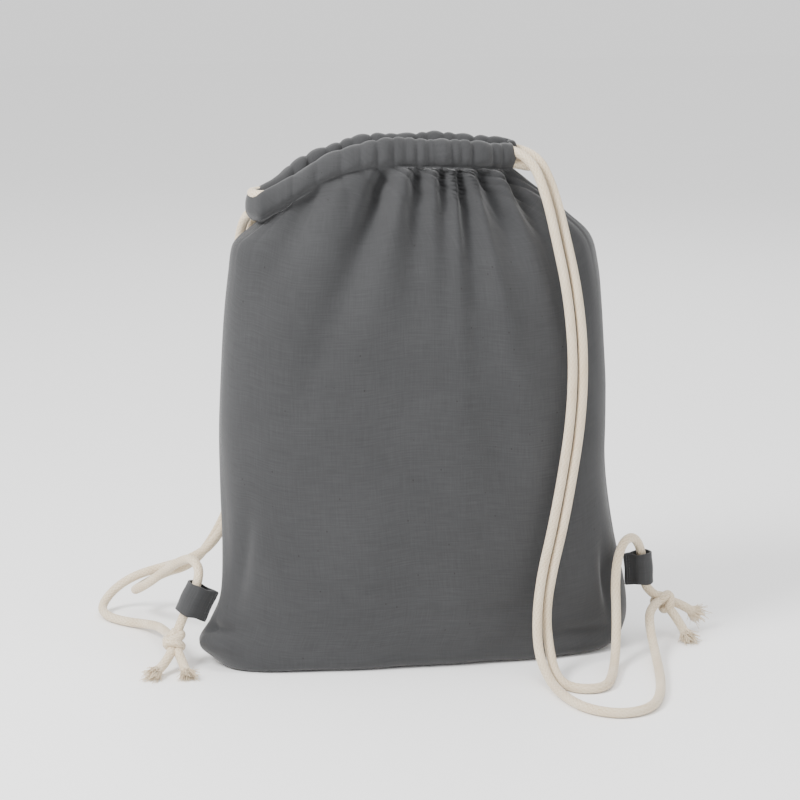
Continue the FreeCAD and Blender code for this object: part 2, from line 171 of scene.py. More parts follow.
def canvas_material(name, tone, thread=0.0009):
    """Plain-weave cotton: two crossing sets of threads, uneven yarn, dark seed flecks."""
    n = Nodes(name)
    count = 1.0 / thread
    warp = n.add("ShaderNodeTexWave", {"Scale": 1.0, "Distortion": 0.6, "Detail": 1.0},
                 wave_type="BANDS", bands_direction="X")
    weft = n.add("ShaderNodeTexWave", {"Scale": 1.0, "Distortion": 0.6, "Detail": 1.0},
                 wave_type="BANDS", bands_direction="Y")
    wave_scale = count / (2.0 * math.pi) * 2.0
    weave_vector = n.scaled((wave_scale, wave_scale, 1.0))
    n.join(weave_vector, warp.inputs["Vector"])
    n.join(weave_vector, weft.inputs["Vector"])
    weave = n.add("ShaderNodeMath", operation="MULTIPLY")
    n.join(warp.outputs["Fac"], weave.inputs[0])
    n.join(weft.outputs["Fac"], weave.inputs[1])
    slub_across = n.add("ShaderNodeTexNoise", {"Scale": 1.0, "Detail": 3.0, "Roughness": 0.6})
    n.join(n.scaled((45.0, 900.0, 1.0)), slub_across.inputs["Vector"])
    slub_up = n.add("ShaderNodeTexNoise", {"Scale": 1.0, "Detail": 3.0, "Roughness": 0.6})
    n.join(n.scaled((900.0, 45.0, 1.0)), slub_up.inputs["Vector"])
    clouds = n.add("ShaderNodeTexNoise", {"Scale": 1.0, "Detail": 4.0, "Roughness": 0.55})
    n.join(n.scaled((14.0, 14.0, 1.0)), clouds.inputs["Vector"])
    flecks = n.add("ShaderNodeTexVoronoi", {"Scale": 1.0, "Randomness": 1.0})
    n.join(n.scaled((95.0, 70.0, 1.0)), flecks.inputs["Vector"])

    def shade(amount):
        return tuple(channel * amount for channel in tone)

    base = n.ramp(clouds.outputs["Fac"], [(0.3, shade(0.93)), (0.7, shade(1.06))])
    across = n.ramp(slub_across.outputs["Fac"], [(0.35, (0.9, 0.9, 0.9)), (0.7, (1.08, 1.08, 1.08))])
    up = n.ramp(slub_up.outputs["Fac"], [(0.35, (0.93, 0.93, 0.93)), (0.7, (1.06, 1.06, 1.06))])
    threads = n.ramp(weave.outputs["Value"], [(0.0, (0.9, 0.9, 0.9)), (1.0, (1.08, 1.08, 1.08))])
    seeds = n.ramp(flecks.outputs["Distance"], [(0.035, (0.55, 0.53, 0.5)), (0.07, (1.0, 1.0, 1.0))])
    colour = n.mix("MULTIPLY", 1.0, base, across)
    colour = n.mix("MULTIPLY", 1.0, colour, up)
    colour = n.mix("MULTIPLY", 0.8, colour, threads)
    colour = n.mix("MULTIPLY", 0.85, colour, seeds)
    n.join(colour, n.shader.inputs["Base Color"])
    weave_bump = n.add("ShaderNodeBump", {"Strength": 0.35, "Distance": 0.00025})
    n.join(weave.outputs["Value"], weave_bump.inputs["Height"])
    slub_bump = n.add("ShaderNodeBump", {"Strength": 0.25, "Distance": 0.0003})
    n.join(slub_across.outputs["Fac"], slub_bump.inputs["Height"])
    n.join(weave_bump.outputs["Normal"], slub_bump.inputs["Normal"])
    n.join(slub_bump.outputs["Normal"], n.shader.inputs["Normal"])
    n.shader.inputs["Roughness"].default_value = 0.92
    n.shader.inputs["Specular IOR Level"].default_value = 0.18
    n.shader.inputs["Sheen Weight"].default_value = 0.22
    n.shader.inputs["Sheen Roughness"].default_value = 0.45
    return n.material


def cord_material(name):
    """Braided natural cotton: pale yarn with painted shade between the plaits, a little fuzz."""
    n = Nodes(name)
    clouds = n.add("ShaderNodeTexNoise", {"Scale": 1.0, "Detail": 4.0, "Roughness": 0.6})
    n.join(n.scaled((60.0, 30.0, 1.0)), clouds.inputs["Vector"])
    yarn = n.add("ShaderNodeTexNoise", {"Scale": 1.0, "Detail": 2.0, "Roughness": 0.7})
    n.join(n.scaled((1400.0, 600.0, 1.0)), yarn.inputs["Vector"])
    base = n.ramp(clouds.outputs["Fac"], [(0.3, (0.64, 0.53, 0.385)), (0.72, (0.76, 0.675, 0.535))])
    fibre = n.ramp(yarn.outputs["Fac"], [(0.3, (0.86, 0.84, 0.8)), (0.7, (1.05, 1.05, 1.05))])
    # Painted shade: the colour is darkened in the braid's grooves, where the relief is low.
    relief = n.add("ShaderNodeAttribute", attribute_name="relief")
    painted_groove_shade = n.ramp(relief.outputs["Fac"], [(0.1, (0.6, 0.52, 0.41)), (0.75, (1.0, 1.0, 1.0))])
    colour = n.mix("MULTIPLY", 0.8, base, fibre)
    colour = n.mix("MULTIPLY", 0.9, colour, painted_groove_shade)
    n.join(colour, n.shader.inputs["Base Color"])
    bump = n.add("ShaderNodeBump", {"Strength": 0.4, "Distance": 0.0003})
    n.join(yarn.outputs["Fac"], bump.inputs["Height"])
    n.join(bump.outputs["Normal"], n.shader.inputs["Normal"])
    n.shader.inputs["Roughness"].default_value = 0.88
    n.shader.inputs["Specular IOR Level"].default_value = 0.2
    n.shader.inputs["Sheen Weight"].default_value = 0.25
    n.shader.inputs["Sheen Roughness"].default_value = 0.5
    n.shader.inputs["Subsurface Weight"].default_value = 0.08
    n.shader.inputs["Subsurface Radius"].default_value = (0.004, 0.003, 0.002)
    return n.material


# ---------------------------------------------------------------- mesh helpers
def make_object(name, points, faces, material, uv=None, body="bag"):
    """Smooth mesh object that rides a body; uv holds one pair for each point."""
    mesh = bpy.data.meshes.new(name)
    mesh.from_pydata([tuple(p) for p in points], [], faces)
    if uv is not None:
        layer = mesh.uv_layers.new(name="UVMap")
        loops = np.empty(len(mesh.loops), np.int32)
        mesh.loops.foreach_get("vertex_index", loops)
        layer.data.foreach_set("uv", np.asarray(uv, np.float32)[loops].ravel())
    mesh.polygons.foreach_set("use_smooth", [True] * len(mesh.polygons))
    mesh.materials.append(material)
    obj = bpy.data.objects.new(name, mesh)
    bpy.context.scene.collection.objects.link(obj)
    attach(obj, body)
    return obj


def grid_faces(rows, columns, wrap=False):
    """Quads of a grid of points stored row by row; wrap joins the last column to the first."""
    faces = []
    last = columns if wrap else columns - 1
    for i in range(rows - 1):
        for j in range(last):
            k = (j + 1) % columns
            faces.append((i * columns + j, i * columns + k, (i + 1) * columns + k, (i + 1) * columns + j))
    return faces


def smoothstep(low, high, value):
    t = np.clip((value - low) / (high - low), 0.0, 1.0)
    return t * t * (3.0 - 2.0 * t)


def apply_modifiers(obj):
    """Turns the object's modifiers into finished mesh."""
    graph = bpy.context.evaluated_depsgraph_get()
    mesh = bpy.data.meshes.new_from_object(obj.evaluated_get(graph))
    obj.modifiers.clear()
    obj.data = mesh


def set_relief(obj, values):
    """Stores how far each point stands up in the braid; the cord's material paints shade where it is low.
    """
    relief = obj.data.attributes.new("relief", "FLOAT", "POINT")
    relief.data.foreach_set("value", np.asarray(values, np.float32))


def spline(points, share):
    """Catmull-Rom curve through evenly numbered points; share runs from 0 to 1."""
    points = np.asarray(points, float)
    place = np.clip(np.asarray(share, float), 0.0, 1.0) * (len(points) - 1)
    low = np.minimum(place.astype(int), len(points) - 2)
    t = (place - low)[..., None]
    padded = np.vstack([2 * points[0] - points[1], points, 2 * points[-1] - points[-2]])
    a, b, c, d = (padded[low + k] for k in range(4))
    return 0.5 * (2 * b + (c - a) * t + (2 * a - 5 * b + 4 * c - d) * t ** 2
                  + (3 * b - a - 3 * c + d) * t ** 3)


# ---------------------------------------------------------------- cords
CORD_DIAMETER = 8.0 * MM
CORD_LANE = 5.1
HEM_STATIONS = [
    (-117, -12, 390), (-98, -18, 404), (-72, -22, 418), (-35, -25.5, 427),
    (5, -26, 427), (43, -22, 425), (77, -12, 422),
]


def lifted(point, lift):
    return (point[0], point[1], point[2] + lift)


def back_of(point):
    return (point[0], -point[1], point[2])


RIGHT_EXIT = lifted(HEM_STATIONS[-1], CORD_LANE)
LEFT_EXIT = lifted(HEM_STATIONS[0], -CORD_LANE)
CORD_ROUTES = {
    "right_cord_front_strand": [
        RIGHT_EXIT,
        (91, -20, 423), (100, -39, 396), (107, -52, 356), (114, -58, 319), (118, -62, 281),
        (119, -64, 243), (116, -66, 202), (110, -66, 161), (102, -69, 121), (93, -70, 82),
        (88, -75, 50), (86, -90, 20), (89, -122, 5.2), (93, -158, 4.3), (103, -188, 4.3),
        (126, -205, 4.3), (152, -196, 4.3), (168, -168, 4.3), (181, -125, 4.3),
        (193, -66, 7), (197, -32, 21), (203, -11, 30), (215, 3, 32),
    ],
    "right_cord_back_strand": [
        back_of(RIGHT_EXIT),
        (99, -1, 426), (109, -28, 400), (116, -46, 359), (123, -56, 320), (127, -61, 281),
        (128, -63, 243), (125, -65, 202), (119, -65, 161), (111, -68, 120), (102, -68, 82),
        (97, -70, 50), (97, -80, 24), (97, -104, 7), (100, -128, 4.3), (114, -140, 4.3),
        (132, -136, 4.3), (143, -112, 4.3), (154, -80, 6), (161, -58, 20), (163, -49, 42),
        (163, -44, 62), (167, -34, 81), (176, -21, 94), (189, -7, 94), (198, -0.5, 79),
        (200, 0.3, 50), (210, 4, 38), (217, 7, 34),
    ],
    "left_cord_back_strand": [
        back_of(LEFT_EXIT),
        (-128, 18, 379), (-132, 36, 366), (-131, 52, 337), (-132, 58, 292), (-133, 60, 244),
        (-136, 62, 196), (-142, 68, 150), (-146, 77, 110), (-162, 93, 76), (-181, 112, 59),
        (-202, 136, 47), (-225, 159, 34), (-243, 172, 18), (-255, 160, 6), (-251, 137, 4.3),
        (-238, 119, 4.3), (-221, 102, 6), (-212, 70, 13), (-208, 34, 18), (-206, 2, 22),
    ],
    "left_cord_front_strand": [
        LEFT_EXIT,
        (-128, -8, 384), (-136, 8, 380), (-141, 28, 365), (-142, 47, 338), (-143, 58, 299),
        (-141, 65, 250), (-144, 70, 200), (-141, 78, 150), (-147, 89, 110), (-165, 112, 68),
        (-180, 127, 49), (-197, 158, 36), (-215, 160, 26), (-228, 143, 24), (-218, 110, 39),
        (-205, 82, 58), (-195, 48, 76), (-186, 18, 87), (-181, 0.5, 76),
        (-199, -0.5, 38), (-204, -7, 27),
    ],
}
# Places along each frayed tail beyond its knot, in millimetres.
CORD_TAILS = {
    "right_tail_a": [(223, 4, 27), (230, -2, 18), (234, -13, 8)],
    "right_tail_b": [(226, 9, 30), (236, 9, 27), (247, 12, 19)],
    "left_tail_a": [(-208, -13, 18), (-212, -22, 11), (-222, -33, 6)],
    "left_tail_b": [(-204, -14, 17), (-201, -24, 10), (-199, -36, 5)],
}
KNOT_PLACES = {"left": (-206, -9, 23), "right": (221, 8, 31)}


def route_line(points, detail=24):
    """Points along the smooth NURBS line that has the route's points as its control points."""
    data = bpy.data.curves.new("route", "CURVE")
    data.dimensions = "3D"
    data.resolution_u = detail
    line = data.splines.new("NURBS")
    line.points.add(len(points) - 1)
    for point, place in zip(line.points, points):
        point.co = (*(MM * value for value in place), 1.0)
    line.order_u = 3
    line.use_endpoint_u = True
    holder = bpy.data.objects.new("route", data)
    mesh = bpy.data.meshes.new_from_object(holder)
    places = np.array([tuple(v.co) for v in mesh.vertices])
    bpy.data.objects.remove(holder)
    bpy.data.curves.remove(data)
    bpy.data.meshes.remove(mesh)
    return places


def evenly(places, spacing):
    """The same line with its points an even distance apart."""
    steps = np.linalg.norm(np.diff(places, axis=0), axis=1)
    along = np.concatenate([[0.0], np.cumsum(steps)])
    count = max(4, int(round(along[-1] / spacing)) + 1)
    marks = np.linspace(0.0, along[-1], count)
    return np.column_stack([np.interp(marks, along, places[:, k]) for k in range(3)]), marks


def frames_along(places):
    """Two side directions at each point of a line, turned as little as possible."""
    tangents = np.gradient(places, axis=0)
    tangents /= np.linalg.norm(tangents, axis=1)[:, None]
    side = np.cross(tangents[0], (0.0, 0.0, 1.0))
    if np.linalg.norm(side) < 1e-3:
        side = np.array([1.0, 0.0, 0.0])
    sides = []
    for tangent in tangents:
        side = side - tangent * np.dot(side, tangent)
        side /= np.linalg.norm(side)
        sides.append(side.copy())
    sides = np.array(sides)
    return sides, np.cross(tangents, sides)


BRAID_STRANDS = 8
BRAID_PITCH = 15.0 * MM
BRAID_RELIEF = 0.075
RING_SPACING = 0.8 * MM
RING_POINTS = 28
TAPER_FLOOR = 0.15


def braid_height(angle, along):
    """0 in the grooves and 1 on the crowns of a diamond braid."""
    turn = 2.0 * math.pi * along / BRAID_PITCH
    half = BRAID_STRANDS / 2.0
    left = np.abs(np.cos(half * (angle + turn)))
    right = np.abs(np.cos(half * (angle - turn)))
    over = np.sin(half * (angle + turn)) * np.sin(half * (angle - turn)) > 0
    return np.where(over, left, right)


def braided_tube(name, places, diameter, material, taper=0.0):
    """Closed braided tube along a line of places; taper is the length of its rounded ends."""
    places, marks = evenly(places, RING_SPACING)
    sides, ups = frames_along(places)
    angles = np.linspace(0.0, 2.0 * math.pi, RING_POINTS, endpoint=False)
    angle_grid, along_grid = np.meshgrid(angles, marks)
    height = braid_height(angle_grid, along_grid)
    radius = diameter / 2.0 * (1.0 - BRAID_RELIEF * (1.0 - height))
    if taper:
        ends = np.minimum(marks, marks[-1] - marks)
        radius *= np.sqrt(np.clip(ends / taper, TAPER_FLOOR, 1.0))[:, None]
    ring = (np.cos(angle_grid)[..., None] * sides[:, None, :]
            + np.sin(angle_grid)[..., None] * ups[:, None, :])
    points = (places[:, None, :] + ring * radius[..., None]).reshape(-1, 3)
    rows = len(places)
    faces = grid_faces(rows, RING_POINTS, wrap=True)
    faces.append(tuple(range(RING_POINTS - 1, -1, -1)))
    faces.append(tuple(range((rows - 1) * RING_POINTS, rows * RING_POINTS)))
    uv = np.column_stack([(angle_grid * diameter / 2.0).ravel(), along_grid.ravel()])
    obj = make_object(name, points, faces, material, uv)
    # The braid's relief also sets the painted shade in its grooves.
    set_relief(obj, height.ravel())
    return obj, places


KNOT_AXES = {"left": (0.05, 0.35, 1.0), "right": (-0.75, 0.1, 0.65)}
KNOT_TURNS = 1.08
KNOT_TURN_STEPS = 48
KNOT_TURN_RADIUS = 6.3 * MM
KNOT_TURN_SQUASH = 0.92
KNOT_TURN_RISE = 2.2 * MM
KNOT_TURN_THICKNESS = 7.6 * MM
KNOT_TURN_TAPER = 3.0 * MM
KNOT_CORE_STOPS = (-11.0, -4.0, 4.0, 11.0)
KNOT_CORE_THICKNESS = 10.5 * MM
KNOT_CORE_TAPER = 6.0 * MM

# Tilt of each turn of a knot, and its shift along the knot's axis in millimetres.
KNOT_LEANS = ((0.45, 3.0), (-0.4, -3.2))


def knot_turn(centre, axis, tilt):
    """A little more than one leaning turn of cord round a knot's core."""
    side = axis.orthogonal().normalized()
    other = axis.cross(side)
    places = []
    for step in range(KNOT_TURN_STEPS + 1):
        share = step / KNOT_TURN_STEPS
        angle = 2.0 * math.pi * KNOT_TURNS * share
        spot = side * (math.cos(angle) * KNOT_TURN_RADIUS)
        spot += other * (math.sin(angle) * KNOT_TURN_RADIUS * KNOT_TURN_SQUASH)
        spot += axis * (KNOT_TURN_RISE * (share - 0.5) + spot.dot(side) * tilt)
        places.append(tuple(centre + spot))
    return np.array(places)


def build_knot(side, material):
    """Tight overhand knot of two cords: two leaning turns round a straight core."""
    centre = Vector(KNOT_PLACES[side]) * MM
    axis = Vector(KNOT_AXES[side]).normalized()
    pieces = []
    for number, (tilt, shift) in enumerate(KNOT_LEANS, start=1):
        places = knot_turn(centre + axis * (shift * MM), axis, tilt)
        turn, _ = braided_tube("%s_knot_turn_%d" % (side, number), places, KNOT_TURN_THICKNESS,
                               material, taper=KNOT_TURN_TAPER)
        pieces.append(turn)
    core_line = np.array([tuple(centre + axis * (stop * MM)) for stop in KNOT_CORE_STOPS])
    core, _ = braided_tube("%s_knot_core" % side, core_line, KNOT_CORE_THICKNESS, material,
                           taper=KNOT_CORE_TAPER)
    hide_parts("%s_knot" % side)
    pieces.append(core)
    return pieces


FRAY_FIBRES = 170
FRAY_LENGTH = (8.0, 15.0)
FRAY_THICKNESS = (0.35, 0.6)
FRAY_CURL = 0.5
FRAY_ROOT = 2.0 * MM
FRAY_SPREAD = 3.4 * MM
FRAY_OPENING = 1.2
FRAY_THINNING = 0.55
FRAY_LOWEST = 0.7 * MM
FRAY_STEPS = 6
FRAY_SIDES = 6
FRAY_UV_STEP = 0.2 * MM


def fibre_faces(start, rings, sides):
    """Faces of a thin closed tube whose points begin at start."""
    last = start + (rings - 1) * sides
    faces = [tuple(start + q for q in quad) for quad in grid_faces(rings, sides, wrap=True)]
    faces.append(tuple(start + k for k in reversed(range(sides))))
    faces.append(tuple(last + k for k in range(sides)))
    return faces


def build_fray(name, places, material):
    """Loose yarns that spread from a cut cord end."""
    end = places[-1]
    tangent = places[-1] - places[-4]
    tangent /= np.linalg.norm(tangent)
    side = np.cross(tangent, (0.0, 0.0, 1.0))
    side /= np.linalg.norm(side)
    up = np.cross(side, tangent)
    points, faces, uv = [], [], []
    for _ in range(FRAY_FIBRES):
        angle = random.uniform(0, 2 * math.pi)
        reach = math.sqrt(random.uniform(0, 1))
        outward = math.cos(angle) * side + math.sin(angle) * up
        length = random.uniform(*FRAY_LENGTH) * MM
        bend = random.normal(0, FRAY_CURL, 3)
        thick = random.uniform(*FRAY_THICKNESS) * MM
        start = len(points)
        for step in range(FRAY_STEPS):
            t = step / (FRAY_STEPS - 1)
            spot = end - tangent * FRAY_ROOT + tangent * (length * t)
            spot = spot + outward * (reach * FRAY_SPREAD * (1 + FRAY_OPENING * t))
            spot = spot + bend * (length * 0.5 * t * t)
            spot[2] = max(spot[2], FRAY_LOWEST)
            width = thick * (1.0 - FRAY_THINNING * t)
            for k in range(FRAY_SIDES):
                a = 2 * math.pi * k / FRAY_SIDES
                points.append(spot + (math.cos(a) * side + math.sin(a) * up) * width)
                uv.append((k * FRAY_UV_STEP, length * t))
        faces += fibre_faces(start, FRAY_STEPS, FRAY_SIDES)
    obj = make_object(name, points, faces, material, uv)
    # Relief 1 everywhere, so the loose yarns get no painted groove shade.
    set_relief(obj, np.ones(len(points)))
    return obj


def casing_route(lift, from_right, bridge):
    """A cord's way through the front hem, round the far gap and back through the back hem."""
    stations = list(reversed(HEM_STATIONS)) if from_right else HEM_STATIONS
    front = [lifted(point, lift) for point in stations]
    near = tuple(a + b for a, b in zip(front[-1], bridge))
    return front + [near, back_of(near)] + [back_of(point) for point in reversed(front)]


RIGHT_CORD_BRIDGE = (-18, 0, 0)
LEFT_CORD_BRIDGE = (18, 0, -4)


def build_cords():
    """Both cords: their runs in the hem, four strands, two knots and four frayed tails."""
    material = cord_material("cotton_cord")
    runs = {
        "right_cord_casing_run": casing_route(CORD_LANE, True, RIGHT_CORD_BRIDGE),
        "left_cord_casing_run": casing_route(-CORD_LANE, False, LEFT_CORD_BRIDGE),
    }
    for name, route in runs.items():
        run, _ = braided_tube(name + "_braid", route_line(route), CORD_DIAMETER, material)
        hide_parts(name)
    pieces = {}
    for side in ("left", "right"):
        pieces[side] = build_knot(side, material)
    for name, route in CORD_TAILS.items():
        tail, places = braided_tube(name + "_braid", route_line(route), CORD_DIAMETER, material)
        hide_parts(name)
        fray = build_fray(name + "_fray", places, material)
        pieces[name.split("_")[0]] += [tail, fray]
    for name, route in CORD_ROUTES.items():
        side = name.split("_")[0]
        strand, places = braided_tube(name + "_braid", route_line(route), CORD_DIAMETER, material)
        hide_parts(name)


# ---------------------------------------------------------------- the bag's cloth
# Each row goes once round the front panel at one height:
# height, half depth, left edge, right edge, squareness, droop of the left end.
BAG_ROWS = [
    (0.0, 0.0, -158.0, 158.0, 0.0, 0.0),
    (0.0, 24.0, -161.0, 161.0, 0.30, 0.0),
    (0.4, 42.0, -165.0, 164.0, 0.32, 0.0),
    (7.0, 51.0, -174.0, 176.0, 0.24, 0.0),
    (20.0, 54.0, -184.0, 184.0, 0.12, 0.0),
    (38.0, 56.0, -174.0, 184.5, 0.08, 0.0),
    (60.0, 57.5, -165.5, 181.0, 0.12, 0.0),
    (100.0, 59.0, -163.5, 172.0, 0.17, 0.0),
    (150.0, 60.0, -164.5, 164.5, 0.20, 0.0),
    (200.0, 60.0, -164.5, 162.0, 0.20, 0.0),
    (250.0, 59.0, -162.5, 160.5, 0.19, 0.0),
    (295.0, 56.5, -159.5, 158.5, 0.17, 0.0),
    (330.0, 52.5, -155.5, 155.0, 0.14, 0.0),
    (356.0, 46.5, -151.5, 147.0, 0.10, 3.0),
    (377.0, 40.5, -141.0, 123.0, 0.06, 15.0),
    (394.0, 35.0, -129.0, 103.0, 0.03, 24.0),
    (407.0, 30.0, -121.0, 90.0, 0.0, 30.0),
]
DROOP_STARTS = -30.0
PANEL_COLUMNS = 170
PANEL_ROWS = 150
HEM_ROWS = 30
HEM_SHARE = 0.94
STITCH_DROP = 10.6
STITCH_OUT = 3.4
HEM_HALF_DEPTH = 5.0
HEM_HALF_HEIGHT = 10.4
HEM_START_ANGLE = -72.0
HEM_SWEEP = 324.0
HEM_ROUNDNESS = 0.7
HEM_JOIN = 0.90
LOWEST_CLOTH = 0.6
CLOTH_THICKNESS = 1.1 * MM

# Creases where a hem is gathered: place across the bag, in millimetres, and depth from 0 to 1.
FRONT_CREASES = [
    (-117, 0.2), (-104, 0.3), (-86, 0.35), (-66, 0.4), (-50, 0.5), (-37, 0.9), (-24, 0.7),
    (-14, 0.6), (-5, 1.0), (5, 0.9), (10, 0.5), (25, 1.0), (32, 0.8), (41, 1.0), (60, 0.9),
    (68, 0.5), (77, 0.3),
]
BACK_CREASES = [
    (-117, 0.3), (-101, 0.6), (-88, 0.9), (-71, 0.6), (-59, 1.0), (-49, 0.6), (-33, 0.9),
    (-20, 0.7), (-11, 0.5), (6, 1.0), (14, 0.6), (29, 0.9), (38, 0.7), (54, 1.0), (66, 0.6),
    (77, 0.3),
]

# Folds below the hem: place at the hem, drift sideways on the way down, length, depth (a ridge
# is positive), half width at the hem and at the end; all in millimetres.
FRONT_FOLDS = [
    (-31, -48, 130, -17.0, 6, 24),
    (-14, -30, 110, 8.0, 7, 18),
    (-4, -8, 110, -11.0, 5, 16),
    (8, -2, 120, 7.0, 6, 14),
    (16, 0, 100, -9.0, 4, 15),
    (24, 4, 160, 9.0, 4, 10),
    (30, 14, 130, -10.0, 4, 15),
    (36, 40, 170, 9.5, 5, 12),
    (48, 56, 120, -11.0, 5, 18),
    (60, 70, 190, 8.5, 6, 17),
    (71, 66, 130, -8.5, 5, 20),
    (-62, -46, 110, 6.0, 12, 24),
    (-92, -40, 80, -7.0, 9, 20),
]
BACK_FOLDS = [
    (-95, -30, 110, -8.0, 8, 20),
    (-74, -30, 130, 8.0, 7, 18),
    (-50, -22, 140, -11.0, 6, 18),
    (-36, -12, 150, 8.5, 5, 12),
    (-14, -6, 130, -10.0, 6, 16),
    (6, 2, 160, 8.5, 5, 12),
    (24, 16, 130, -11.0, 6, 18),
    (44, 34, 170, 9.0, 6, 14),
    (62, 48, 130, -9.0, 6, 18),
]

# Dents in the stuffed cloth: place across and up, depth, half width across and up, and how far
# the middle moves across for each millimetre up; all in millimetres.
FRONT_DENTS = [
    (-152, 92, -5.0, 7, 42, 0.12),
    (-174, 34, -7.0, 16, 4.5, 0.0),
    (-170, 21, 3.5, 18, 7, 0.0),
    (159, 62, -6.5, 5, 26, -0.10),
    (134, 22, -4.5, 34, 7, 0.0),
    (170, 30, 3.0, 10, 14, 0.0),
    (-40, 70, -1.8, 60, 9, 0.0),
    (40, 48, -1.6, 70, 8, 0.0),
    (60, 190, -2.0, 16, 60, -0.45),
    (-96, 250, -1.8, 14, 55, 0.35),
]
BACK_DENTS = [
    (-140, 60, -5.0, 9, 40, 0.1),
    (146, 70, -5.0, 8, 36, -0.1),
    (30, 30, -3.0, 70, 8, 0.0),
    (-60, 150, -2.2, 18, 70, 0.3),
    (70, 200, -2.2, 16, 60, -0.3),
]


CROWN_ROUNDNESS = 0.7


def crease_wave(x, creases):
    """Bulge between creases, 0 in a full crease and 1 on a crown; and the local pitch."""
    creases = np.asarray(creases, float)
    number = np.interp(x, creases[:, 0], np.arange(len(creases)))
    pitch = np.interp(x, creases[:-1, 0] + np.diff(creases[:, 0]) / 2, np.diff(creases[:, 0]))
    depth = np.interp(x, creases[:, 0], creases[:, 1])
    crown = np.abs(np.sin(math.pi * number)) ** CROWN_ROUNDNESS
    return 1.0 - depth * (1.0 - crown), pitch


def hem_line(share):
    """Middle line of the front hem with its outward plan direction, in millimetres."""
    place = spline(HEM_STATIONS, share)
    ahead = spline(HEM_STATIONS, np.clip(share + 0.01, 0, 1))
    behind = spline(HEM_STATIONS, np.clip(share - 0.01, 0, 1))
    along = ahead - behind
    along[..., 2] = 0.0
    along /= np.linalg.norm(along, axis=-1)[..., None]
    outward = np.stack([along[..., 1], -along[..., 0], np.zeros(along.shape[:-1])], axis=-1)
    return place, along, outward


# The hem's left end is drawn out and down over the cords that leave there.
LEFT_EAR = 15.0
LEFT_EAR_DROP = 6.0
LEFT_EAR_START = -0.80


def hem_surface(turn, out, rise):
    """Point of the hem's cross-section; turn runs across the panel from seam to seam."""
    share = np.clip(turn / HEM_SHARE, -1.0, 1.0)
    place, along, outward = hem_line((share + 1.0) / 2.0)
    past = np.clip((np.abs(turn) - HEM_SHARE) / (1.0 - HEM_SHARE), 0.0, 1.0)
    swing = np.radians(90.0 * past)
    edge = place + outward * (out * np.cos(swing))[..., None]
    edge = edge + along * (np.copysign(out, turn) * np.sin(swing))[..., None]
    edge[..., 1] *= 1.0 - past
    ear = smoothstep(LEFT_EAR_START, -1.0, turn)
    edge[..., 0] -= LEFT_EAR * ear
    edge[..., 2] = place[..., 2] + rise - LEFT_EAR_DROP * ear
    return edge


def body_grid(turn, share):
    """The stuffed front panel without folds, in millimetres."""
    values = spline(BAG_ROWS, share)
    height, depth, left, right, square, droop = (values[:, k][:, None] for k in range(6))
    angle = np.radians(90.0) * turn[None, :]
    centre = (left + right) / 2.0
    reach = (right - left) / 2.0
    x = centre + reach * np.sin(angle) * (1.0 + square * np.cos(angle) ** 2)
    y = -depth * np.cos(angle) * (1.0 + square * np.sin(angle) ** 2)
    hang = np.clip((DROOP_STARTS - x) / (DROOP_STARTS - left), 0.0, 1.5)
    z = np.maximum(height - droop * hang ** 2, 0.0)
    return np.stack([x, y, z * np.ones_like(x)], axis=-1)


def fold_lift(x, below_hem, folds):
    """Height of the folds that run down from the hem and fade out."""
    lift = np.zeros_like(x)
    for start, drift, length, size, narrow, wide in folds:
        down = np.clip(below_hem / length, 0.0, 1.4)
        middle = start + drift * down
        width = narrow + (wide - narrow) * down
        shape = np.exp(-((x - middle) / width) ** 2)
        fade = np.exp(-1.6 * down ** 1.6) * smoothstep(-0.01, 0.10, down + 0.02)
        lift += size * shape * fade
    return lift


def dent_lift(points, dents):
    """Height of the dents and bumps in the stuffed cloth."""
    lift = np.zeros(points.shape[:-1])
    for across, up, size, wide, tall, slant in dents:
        rise = points[..., 2] - up
        shift = points[..., 0] - across - slant * rise
        lift += size * np.exp(-(shift / wide) ** 2 - (rise / tall) ** 2)
    return lift


def panel_points(creases, folds, dents, phase):
    """Front panel from the bottom seam to the stitch line, then once round the hem, in metres."""
    turn = np.linspace(-1.0, 1.0, PANEL_COLUMNS)
    share = np.linspace(0.0, 1.0, PANEL_ROWS)
    body = body_grid(turn, share)
    flat_z = body[..., 2].copy()
    top = hem_surface(turn, np.full(PANEL_COLUMNS, STITCH_OUT), np.full(PANEL_COLUMNS, -STITCH_DROP))
    join = smoothstep(HEM_JOIN, 1.0, share)[:, None, None]
    body = body * (1.0 - join) + top[None] * join

    normals = np.cross(np.gradient(body, axis=1), np.gradient(body, axis=0))
    normals /= np.maximum(np.linalg.norm(normals, axis=-1), 1e-9)[..., None]
    seam_fade = smoothstep(0.0, 0.12, 1.0 - np.abs(turn))[None, :]

    below_hem = np.maximum(0.0, top[None, :, 2] - body[..., 2])
    wave, pitch = crease_wave(top[None, :, 0], creases)
    gather = np.clip(0.36 * pitch, 2.0, 5.0)
    lift = fold_lift(body[..., 0], below_hem, folds)
    lift += gather * (wave - 0.6) * np.exp(-(below_hem / (2.2 * pitch + 14.0)) ** 1.3)
    lift += dent_lift(body, dents)
    lift += soft_swell(body, phase) * smoothstep(0.0, 30.0, flat_z)
    body = body + normals * (lift * seam_fade)[..., None]
    body[..., 2] = np.maximum(body[..., 2], LOWEST_CLOTH)

    hem = hem_grid(turn, wave[0], gather[0], phase)
    return np.concatenate([body, hem], axis=0) * MM


def soft_swell(points, phase):
    """Slow uneven swells of stuffed cloth, a millimetre or two high."""
    x = points[..., 0]
    z = points[..., 2]
    swell = 1.3 * np.sin(0.021 * x + 0.9 * np.sin(0.017 * z + phase) + phase)
    swell += 0.9 * np.sin(0.034 * z + 1.3 * np.sin(0.02 * x - phase))
    swell += 0.5 * np.sin(0.055 * x - 0.031 * z + 2.0 * phase)
    return swell


